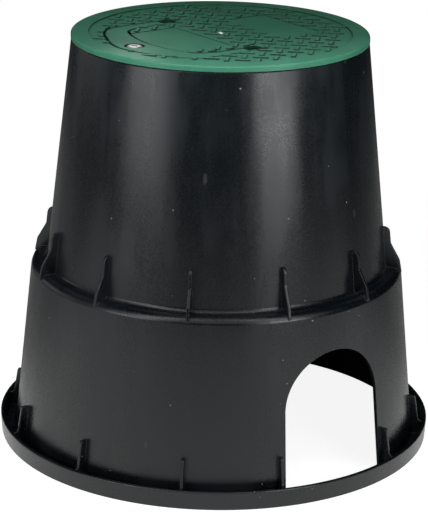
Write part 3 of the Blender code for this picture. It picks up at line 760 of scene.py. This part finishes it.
def lid_steps():
    """What is added to the turned lid and cut from it, in order."""
    plate_middle = -(tread_floor + panel_depth + lid_edge) / 2
    rib_bottom = -lid_edge - under_rib_height
    pocket_floor = hinge_depth + neck_radius + seat_gap
    tub_outline = handle_outline(slot_gap + tub_wall)
    tub = flat_plate("trough_tub", tub_outline, -trough_bottom, plate_middle)
    pocket_tub = flat_plate("pocket_tub", pocket_outline(pocket_tub_wall),
                            -pocket_floor - tub_wall, plate_middle)
    hub = hub_ring(rib_bottom, plate_middle)
    panels = [panel_cutter("back_panel", back_panel), panel_cutter("front_panel", front_panel)]
    trough = lipped_cutter("handle_trough", lambda margin: handle_outline(slot_gap + margin),
                           trough_floor, tread_floor)
    pocket = lipped_cutter("hinge_pocket", pocket_outline, pocket_floor, tread_floor)
    pockets = on_each_arm(pocket)
    seat_height = -screw_head_sink - screw_head_height - seat_gap
    seat_outline = circle(seat_radius, round_steps, at_lock)
    seat = flat_plate("screw_seat", seat_outline, -trough_floor - seat_root, seat_height)
    hole_outline = circle(screw_bore, bore_steps, at_lock)
    hole = flat_plate("screw_hole", hole_outline, -2 * trough_bottom, lid_edge)
    bearings = pin_bearings()
    return [
        ("UNION", tub), ("UNION", on_each_arm(pocket_tub)),
        ("UNION", under_ribs(rib_bottom, plate_middle)), ("UNION", hub),
        ("DIFFERENCE", joined("panels", panels)),
        ("UNION", copies(tread_bar(), tread_places())), ("DIFFERENCE", trough),
        ("DIFFERENCE", pockets), ("UNION", seat), ("DIFFERENCE", hole), ("DIFFERENCE", bearings),
    ]


faded_green = (0.060, 0.190, 0.125, 1)
rubbed_green = (0.16, 0.33, 0.26, 1)
dusty_green = (0.50, 0.58, 0.52, 1)
# Painted shade and soil: a near black laid on the low walls, in the corners and down the slots
shade_and_soil_black = (0.0012, 0.0034, 0.0026, 1)
shade_and_soil_strength = 0.92
shade_and_soil_underneath = 0.12  # what is left of the painted shade and soil on the faces below the lid's edge
slot_fade = 0.0008  # the depth over which a slot's painted shade and soil turns black
corner_shade_reach = 0.0022
green_edge_round = 0.0002
green_wave_depth = 0.0001


def green_plastic_finish(name, deep, pale, slot_depth):
    """Satin green polyethylene, mottled and dusty; painted shade and soil darken walls, corners,
    slots.
    """
    material, tree, shader, place = new_finish(name)
    spot = put(tree, "SeparateXYZ", {"Vector": place}).outputs
    normal = put(tree, "TexCoord", {}).outputs["Normal"]
    facing_up = put(tree, "SeparateXYZ", {"Vector": normal}).outputs["Z"]
    flat_place = put(tree, "CombineXYZ", {"X": spot["X"], "Y": spot["Y"]}).outputs["Vector"]
    from_middle = measured(tree, "LENGTH", flat_place)
    inside = eased(tree, from_middle, tread_radius + 0.0003, tread_radius + 0.0008, 1.0, 0.0)
    depth = combined(tree, overall_height, spot["Z"], "SUBTRACT")

    mottle = grain(tree, place, 45, 4, 0.6)
    broad = grain(tree, place, 11, 2)
    colour = tinted(tree, eased(tree, mottle, 0.3, 0.7), deep, pale)
    colour = tinted(tree, eased(tree, broad, 0.35, 0.75, 0.0, 0.35), colour, faded_green)
    rub = flecks(tree, place, 85, 0.09, (1, 0.3, 1), (0.1, 0.3, 0.6))
    colour = tinted(tree, times(tree, rub, 0.25), colour, rubbed_green)
    dust = flecks(tree, place, 120, 0.045)
    colour = tinted(tree, times(tree, dust, 0.8), colour, dusty_green)

    # Painted shade: walls facing sideways, and corners found by occlusion, darkened as if shaded.
    wall_painted_shade = eased(tree, facing_up, 0.55, 0.96, shade_and_soil_strength, 0.0)
    shade = put(tree, "AmbientOcclusion", {"Distance": corner_shade_reach}, samples=4)
    corner = eased(tree, shade.outputs["AO"], 0.45, 0.95, shade_and_soil_strength, 0.0)
    painted_shade_and_soil = times(tree, combined(tree, wall_painted_shade, corner, "MAXIMUM"), inside)
    painted_shade_and_soil = times(tree, painted_shade_and_soil, eased(tree, mottle, 0.25, 0.6, 0.75, 1.0))
    # Painted shade and soil: faces below the tread's floor turn black down the slots and pockets.
    slot_shade_and_soil = eased(tree, depth, slot_depth, slot_depth + slot_fade, 0.0, 1.0)
    painted_shade_and_soil = combined(tree, painted_shade_and_soil, times(tree, slot_shade_and_soil, inside), "MAXIMUM")
    reached = eased(tree, depth, lid_edge - 0.0006, lid_edge, 1.0, shade_and_soil_underneath)
    painted_shade_and_soil = times(tree, painted_shade_and_soil, reached)
    colour = tinted(tree, painted_shade_and_soil, colour, shade_and_soil_black)

    rough = eased(tree, broad, 0.3, 0.7, 0.36, 0.46)
    rough = speckled(tree, rough, place, 1100, 0.04, painted_shade_and_soil, 0.3)
    wave = grain(tree, place, 70, 2)
    pits = combined(tree, grain(tree, place, 1700, 3), times(tree, dust, 2.0))
    skin = moulded_skin(tree, green_edge_round, wave, green_wave_depth, pits)
    fed(tree, shader, {"Base Color": colour, "Roughness": rough, "Normal": skin,
                       "Specular IOR Level": 0.30})
    return material


lid_green_deep = (0.028, 0.150, 0.090, 1)
lid_green_pale = (0.036, 0.180, 0.110, 1)
green_plastic = green_plastic_finish(
    "green_plastic_moulded", lid_green_deep, lid_green_pale, tread_floor + 0.0006)
lid = turned("lid_moulding", lid_section(), lid_turn_steps)
worked(lid, lid_steps())
shifted(lid, 0, 0, overall_height)
shaded(lid, green_plastic)
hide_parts("lid")
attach(lid, "box")


# ------------------------------------------------------------
# Gate stub. The lid is filled through its middle, and the runner, clipped off there, leaves
# a small white, bruised nub of the same plastic standing on the tread's floor.
stub_steps = 24
stub_layers = (  # height, radius
    (-0.0003, 0.0015), (0.0001, 0.00145), (0.0003, 0.0013), (0.00042, 0.0010), (0.00047, 0.0005),
)
bruised_white = (0.85, 0.90, 0.85, 1)
bruised_green = (0.55, 0.66, 0.58, 1)


def gate_stub():
    """A low nub, a little out of round."""
    loops = []
    for height, radius in stub_layers:
        ring = circle(radius, stub_steps)
        loops.append([(p.x * (1 + 0.06 * sin(3 * k)), p.y, height) for k, p in enumerate(ring)])
    return skinned("gate_stub", loops)


def bruised_plastic_finish():
    """Clipped plastic, whitened and rough where it tore."""
    material, tree, shader, place = new_finish("bruised_plastic")
    crush = grain(tree, place, 1500, 4)
    colour = tinted(tree, eased(tree, crush, 0.3, 0.7), bruised_green, bruised_white)
    rough = eased(tree, crush, 0.3, 0.7, 0.45, 0.7)
    bump = put(tree, "Bump", {"Height": crush, "Strength": 0.6, "Distance": 0.0002})
    fed(tree, shader, {"Base Color": colour, "Roughness": rough, "Normal": bump.outputs["Normal"]})
    return material


stub = shifted(gate_stub(), 0, 0, overall_height - tread_floor)
shaded(stub, bruised_plastic_finish())
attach(stub, "box")


# ------------------------------------------------------------
# Carry handle. A U-shaped green moulding that lies flush in the lid's trough and swings up
# on the pins of its two arms. It is hollowed from below to an even wall, and an eye in the
# grip goes round the head of the lock screw.
core_wall = 0.0016
core_depth = 0.0030
eye_radius = 0.0055
eye_wall = 0.0022
eye_steps = 64
eye_cut = 0.012
handle_top_round = 0.0004
handle_top_steps = 5
handle_foot_round = 0.0003
handle_top = overall_height - handle_sink
handle_foot = handle_top - handle_thickness
neck_steps = 24
neck_underside = 0.0001
neck_side_gap = 0.0004
neck_lap = 0.0015  # how far the neck runs into the arm
neck_edge = 0.0005
pin_chamfer = 0.0004


def handle_bar():
    """The U as one bar, its edges rounded above and below."""
    first_cut = 0.3 * handle_foot_round
    layers = [(handle_foot, -handle_foot_round), (handle_foot + first_cut, -first_cut),
              (handle_foot + handle_foot_round, 0.0)]
    for k in range(handle_top_steps + 1):
        turn = pi / 2 * k / handle_top_steps
        height = handle_top - handle_top_round * (1 - sin(turn))
        layers.append((height, -handle_top_round * (1 - cos(turn))))
    return skinned("handle_moulding", [[(p.x, p.y, z) for p in handle_outline(margin)]
                                       for z, margin in layers])


def handle_necks():
    """The round hinge ends of the arms, seen from the side as an outline round the pin."""
    outline = []
    for step in range(neck_steps + 1):
        angle = pi / 2 + pi * step / neck_steps
        outline.append(Vector((neck_radius * cos(angle), neck_radius * sin(angle))))
    outline.append(Vector((0.0037, neck_underside)))
    outline.append(Vector((neck_length + neck_lap, neck_underside)))
    outline.append(Vector((neck_length + neck_lap, neck_radius - 0.0003)))
    neck = upright_plate("neck", outline, arm_width - neck_side_gap, neck_edge)
    neck.data.transform(Matrix.Rotation(-pi / 2, 4, "Z"))
    return shifted(on_each_arm(neck), 0, -hinge_offset, hinge_height)


def hinge_pins():
    """A pin through each neck, its ends chamfered."""
    half = pocket_half_width + pin_hold
    tip_radius = pin_radius - pin_chamfer
    loops = []
    for x, radius in ((-half, tip_radius), (-half + pin_chamfer, pin_radius),
                      (half - pin_chamfer, pin_radius), (half, tip_radius)):
        loops.append([(x, p.x, p.y) for p in circle(radius, pin_steps)])
    return shifted(on_each_arm(skinned("hinge_pin", loops)), 0, -hinge_offset, hinge_height)


def handle_steps():
    """The hollow underneath, the necks and pins, and then the eye."""
    core = flat_plate("handle_core", handle_outline(-core_wall),
                      handle_foot - handle_thickness, handle_foot + core_depth)
    column = flat_plate("eye_column", circle(eye_radius + eye_wall, round_steps, at_lock),
                        handle_foot - 2 * handle_thickness, overall_height)
    worked(core, [("DIFFERENCE", column)])
    eye = lipped_cutter(
        "handle_eye", lambda margin: circle(eye_radius + margin, eye_steps, at_lock),
        eye_cut, handle_sink)
    shifted(eye, 0, 0, overall_height)
    return [("DIFFERENCE", core), ("UNION", handle_necks()),
            ("UNION", hinge_pins()), ("DIFFERENCE", eye)]


handle_green_deep = (0.030, 0.150, 0.092, 1)
handle_green_pale = (0.038, 0.180, 0.112, 1)
handle_green = green_plastic_finish(
    "green_plastic_handle_moulded", handle_green_deep, handle_green_pale, handle_sink + 0.0006)
handle = handle_bar()
worked(handle, handle_steps())
shaded(handle, handle_green)
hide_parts("carry_handle")
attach(handle, "handle")


# ------------------------------------------------------------
# Lock screw. A stainless steel M6 machine screw with a low domed head and a hexagon socket,
# cold headed and thread rolled. It passes through the lid's seat into the nut in the lug.
screw_radius = 0.0030
screw_pitch = 0.0010
screw_steps = 32
thread_depth = 0.00055
thread_start = 0.0012  # from the tip to the thread's full depth
thread_fade = 0.0010
plain_neck = 0.0030
tip_chamfer = 0.0008
head_lap = 0.0004  # of the shank into the head
head_steps = 64
head_middle = 0.0006
screw_head_radius = 0.0047
screw_head_top = overall_height - screw_head_sink
screw_end = lug_foot - 0.0032
socket_radius = 0.0021
socket_depth = 0.0018


def threaded_shank():
    """The shank below the head, its thread a height field on the cylinder."""
    top = screw_head_top - screw_head_height + head_lap
    rows = int((top - screw_end) / (screw_pitch / 8))
    loops = []
    for row in range(rows + 1):
        z = screw_end + (top - screw_end) * row / rows
        started = max(0.0, (z - screw_end) / thread_start)
        not_ended = max(0.0, (top - plain_neck - z) / thread_fade)
        runout = min(1.0, started, not_ended)
        loop = []
        for step in range(screw_steps):
            angle = 2 * pi * step / screw_steps
            phase = (z / screw_pitch - angle / (2 * pi)) % 1.0
            groove = thread_depth * (1 - abs(2 * phase - 1)) * runout
            tip = max(0.0, tip_chamfer - (z - screw_end)) * 0.8
            radius = screw_radius - groove - tip
            loop.append((radius * cos(angle), radius * sin(angle), z))
        loops.append(loop)
    return skinned("shank", loops)


def screw_head():
    """The low dome and its straight rim."""
    edge = screw_head_radius
    profile = soft_corners((
        (head_middle, screw_head_top, 0),
        (edge - 0.0009, screw_head_top - 0.0001, 0.0016),
        (edge, screw_head_top - 0.0015, 0.0006),
        (edge, screw_head_top - screw_head_height, 0.0002),
        (head_middle, screw_head_top - screw_head_height, 0),
    ))
    return turned("lock_screw_headed", profile, head_steps)


def steel_finish(name, dark, light, roughness):
    """Bright steel: a dull film in blotches, fine drawn lines and uneven gloss."""
    material, tree, shader, place = new_finish(name)
    film = grain(tree, place, 220, 4, 0.6)
    colour = tinted(tree, eased(tree, film, 0.3, 0.7), dark, light)
    gloss = grain(tree, place, 900, 3)
    rough = eased(tree, gloss, 0.3, 0.7, roughness - 0.07, roughness + 0.09)
    lines = grain(tree, place, 2600, 2, 0.5, (1, 0.15, 1))
    bump = put(tree, "Bump", {"Height": lines, "Strength": 0.35, "Distance": 0.00003})
    fed(tree, shader, {"Base Color": colour, "Metallic": 1.0, "Roughness": rough,
                       "Normal": bump.outputs["Normal"]})
    return material


stainless_dull = (0.84, 0.84, 0.83, 1)
stainless_bright = (0.96, 0.96, 0.95, 1)
stainless = steel_finish("stainless_steel_bright", stainless_dull, stainless_bright, 0.42)
screw = screw_head()
socket = lipped_cutter("key_socket", lambda margin: circle(socket_radius + margin, 6),
                       socket_depth, 0.0)
shifted(socket, 0, 0, screw_head_top)
worked(screw, [("UNION", threaded_shank()), ("DIFFERENCE", socket)])
shifted(screw, 0, -lock_offset)
shaded(screw, stainless)
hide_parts("lock_screw")
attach(screw, "box")


# ------------------------------------------------------------
# Lock nut. A zinc plated hexagon nut, pressed up into the pocket under the lug; its corners
# are chamfered at both ends and its hole is countersunk.
nut_corner = nut_half_flats / cos(pi / 6)
nut_chamfer_in = 0.0008
nut_chamfer_out = 0.0004
nut_chamfer_height = 0.0007
nut_sink_radius = 0.0040
nut_sink_depth = 0.0006
nut_overrun = 0.0001


def nut_blank():
    """A hexagon, its corners cut by a double cone and its hole by a countersunk bore."""
    loops = [[(p.x, p.y, z) for p in circle(nut_corner, 6)] for z in (0.0, nut_height)]
    nut = skinned("lock_nut_pressed", loops)
    cone = turned("nut_chamfer", [
        (nut_corner - nut_chamfer_in, 0.0),
        (nut_corner + nut_chamfer_out, nut_chamfer_height),
        (nut_corner + nut_chamfer_out, nut_height - nut_chamfer_height),
        (nut_corner - nut_chamfer_in, nut_height)], round_steps)
    hole = turned("nut_hole", [
        (nut_sink_radius, -nut_overrun),
        (screw_bore, nut_sink_depth),
        (screw_bore, nut_height - nut_sink_depth),
        (nut_sink_radius, nut_height + nut_overrun)], bore_steps)
    return worked(nut, [("INTERSECT", cone), ("DIFFERENCE", hole)])


zinc_dull = (0.50, 0.51, 0.50, 1)
zinc_bright = (0.66, 0.65, 0.60, 1)
zinc = steel_finish("zinc_plate", zinc_dull, zinc_bright, 0.38)
nut = shifted(nut_blank(), 0, -lock_offset, lug_foot + seat_gap)
shaded(nut, zinc)
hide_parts("lock_nut")
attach(nut, "box")


# ------------------------------------------------------------
# Studio. A pale matt table that keeps the box's soft shadow, in a white room. A softbox stands
# at each side of the front, a long lamp hangs over the lid, and a fill, a panel and a small
# card light the left, the back and the lock screw's head.
front_bearing = radians(-37.0)
table_radius = 1.1
table_thickness = 0.012
table_grey_dark = (0.60, 0.60, 0.60, 1)
table_grey_light = (0.64, 0.64, 0.64, 1)
room_fill = 0.05  # the room's own even light
band_base = 0.65
band_gain = 2.6


def table_finish():
    """Pale and matt, and it glows. It looks near white, with the box's shadow left in it; in gloss
    its painted glow is dark under the box, and dimmer behind it and far away."""
    material, tree, shader, place = new_finish("pale_table")
    path = put(tree, "LightPath", {}).outputs
    from_middle = measured(tree, "LENGTH", place)
    forward = (cos(front_bearing), sin(front_bearing), 0)
    nearer = measured(tree, "DOT_PRODUCT", place, forward)
    under_box = rim_inner_radius - channel_width
    open_table = eased(tree, from_middle, under_box, rim_inner_radius, 0.0, 1.0)
    tint = tinted(tree, grain(tree, place, 6, 2), table_grey_dark, table_grey_light)

    # Painted glow: the table emits light that only reflections see, strong in front, weaker far
    # off, none under the box.
    mirrored = combined(tree, path["Is Glossy Ray"], path["Is Transmission Ray"], "MAXIMUM")
    front_light = eased(tree, nearer, -0.15, 0.10, 0.12, 0.80)
    in_gloss = times(tree, mirrored, front_light)
    fade = eased(tree, from_middle, 0.60, 0.85, 1.0, 0.30)
    in_gloss = times(tree, in_gloss, fade)
    in_gloss = times(tree, in_gloss, open_table)
    whiter = eased(tree, from_middle, 0.20, 0.80, 0.90, 1.0)
    in_view = times(tree, path["Is Camera Ray"], whiter)
    lift = combined(tree, in_gloss, in_view, "MAXIMUM")
    fed(tree, shader, {"Base Color": tint, "Roughness": 0.9, "Specular IOR Level": 0.1,
                       "Emission Color": (1, 1, 1, 1), "Emission Strength": lift})
    return material


def surround(tree, shader):
    """A white room. In gloss it is bright above the front, brightest in a band at each side
    of it, faint high up at the back and dark low down."""
    path = put(tree, "LightPath", {}).outputs
    ray = put(tree, "TexCoord", {}).outputs["Generated"]
    level = put(tree, "VectorMath", {0: ray, 1: (1, 1, 0)}, operation="MULTIPLY")
    level = put(tree, "VectorMath", {0: level.outputs["Vector"]}, operation="NORMALIZE")
    behind = (-cos(front_bearing), -sin(front_bearing), 0)
    facing = measured(tree, "DOT_PRODUCT", level.outputs["Vector"], behind)
    upward = put(tree, "SeparateXYZ", {"Vector": ray}).outputs["Z"]

    backdrop = times(tree, eased(tree, facing, 0.88, 0.98),
                     eased(tree, upward, 0.60, 0.90, 0.0, 0.6))
    bands = times(tree, eased(tree, facing, -0.88, -0.76),
                  eased(tree, facing, -0.62, -0.50, 1.0, 0.0))
    bands = combined(tree, times(tree, bands, band_gain), band_base)
    front = times(tree, eased(tree, facing, -0.5, 0.0, 1.0, 0.0), eased(tree, upward, 0.24, 0.50))
    front = times(tree, front, bands)

    mirrored = combined(tree, path["Is Glossy Ray"], path["Is Transmission Ray"], "MAXIMUM")
    gloss = combined(tree, backdrop, front, "MAXIMUM")
    room = put(tree, "Mix", {0: mirrored, 2: room_fill, 3: gloss}, data_type="FLOAT").outputs[0]
    strength = combined(tree, room, path["Is Camera Ray"], "MAXIMUM")
    fed(tree, shader, {"Color": (1, 1, 1, 1), "Strength": strength})


table = flat_plate("table_top", circle(table_radius, 96), -table_thickness, 0.0)
shaded(table, table_finish())

world = bpy.data.worlds.new("studio")
bpy.context.scene.world = world
world.use_nodes = True
surround(world.node_tree, world.node_tree.nodes["Background"])


def softbox(name, bearing, distance, height, width, tall, power, aim=0.20, in_gloss=True):
    """A rectangular lamp, its bearing in degrees from the front, aimed at a height on the
    box's axis; one that isn't in gloss lights the box without a mirror image in it."""
    light = bpy.data.lights.new(name, "AREA")
    light.shape = "RECTANGLE"
    light.size = width
    light.size_y = tall
    light.energy = power
    lamp = bpy.data.objects.new(name, light)
    bpy.context.scene.collection.objects.link(lamp)
    angle = front_bearing + radians(bearing)
    lamp.location = (distance * cos(angle), distance * sin(angle), height)
    direction = Vector((0, 0, aim)) - lamp.location
    lamp.rotation_euler = direction.to_track_quat("-Z", "Y").to_euler()
    lamp.visible_camera = False
    lamp.visible_glossy = in_gloss


softbox("right_softbox", 39.5, 0.68, 0.215, 0.28, 0.17, 1.02)
softbox("left_softbox", -50, 0.68, 0.215, 0.35, 0.17, 0.70)
softbox("left_fill", -112, 1.00, 0.30, 0.80, 0.40, 0.6)
softbox("lid_softbox", 0, 0.130, 0.300, 0.56, 0.05, 0.64, aim=overall_height, in_gloss=False)
softbox("back_panel", 180, 0.17, 0.36, 0.44, 0.12, 0.042, aim=0.30)
softbox("screw_card", -127, 0.060, 0.274, 0.035, 0.03, 0.0075, aim=overall_height)

camera = bpy.data.objects.new("camera", bpy.data.cameras.new("camera"))
bpy.context.scene.collection.objects.link(camera)
camera.data.sensor_fit = "VERTICAL"
camera.data.sensor_height = 36.0
camera.data.lens = 155.5
camera.data.clip_start = 0.05
camera.data.clip_end = 20.0
camera.location = (0.93995, -0.70831, 0.49060)
heading = Matrix.Rotation(radians(53.066), 4, "Z")
tilt = Matrix.Rotation(radians(71.65), 4, "X")
roll = Matrix.Rotation(radians(1.0256), 4, "Z")
camera.rotation_euler = (heading @ tilt @ roll).to_euler()
bpy.context.scene.camera = camera
bpy.context.scene.view_settings.view_transform = "Standard"
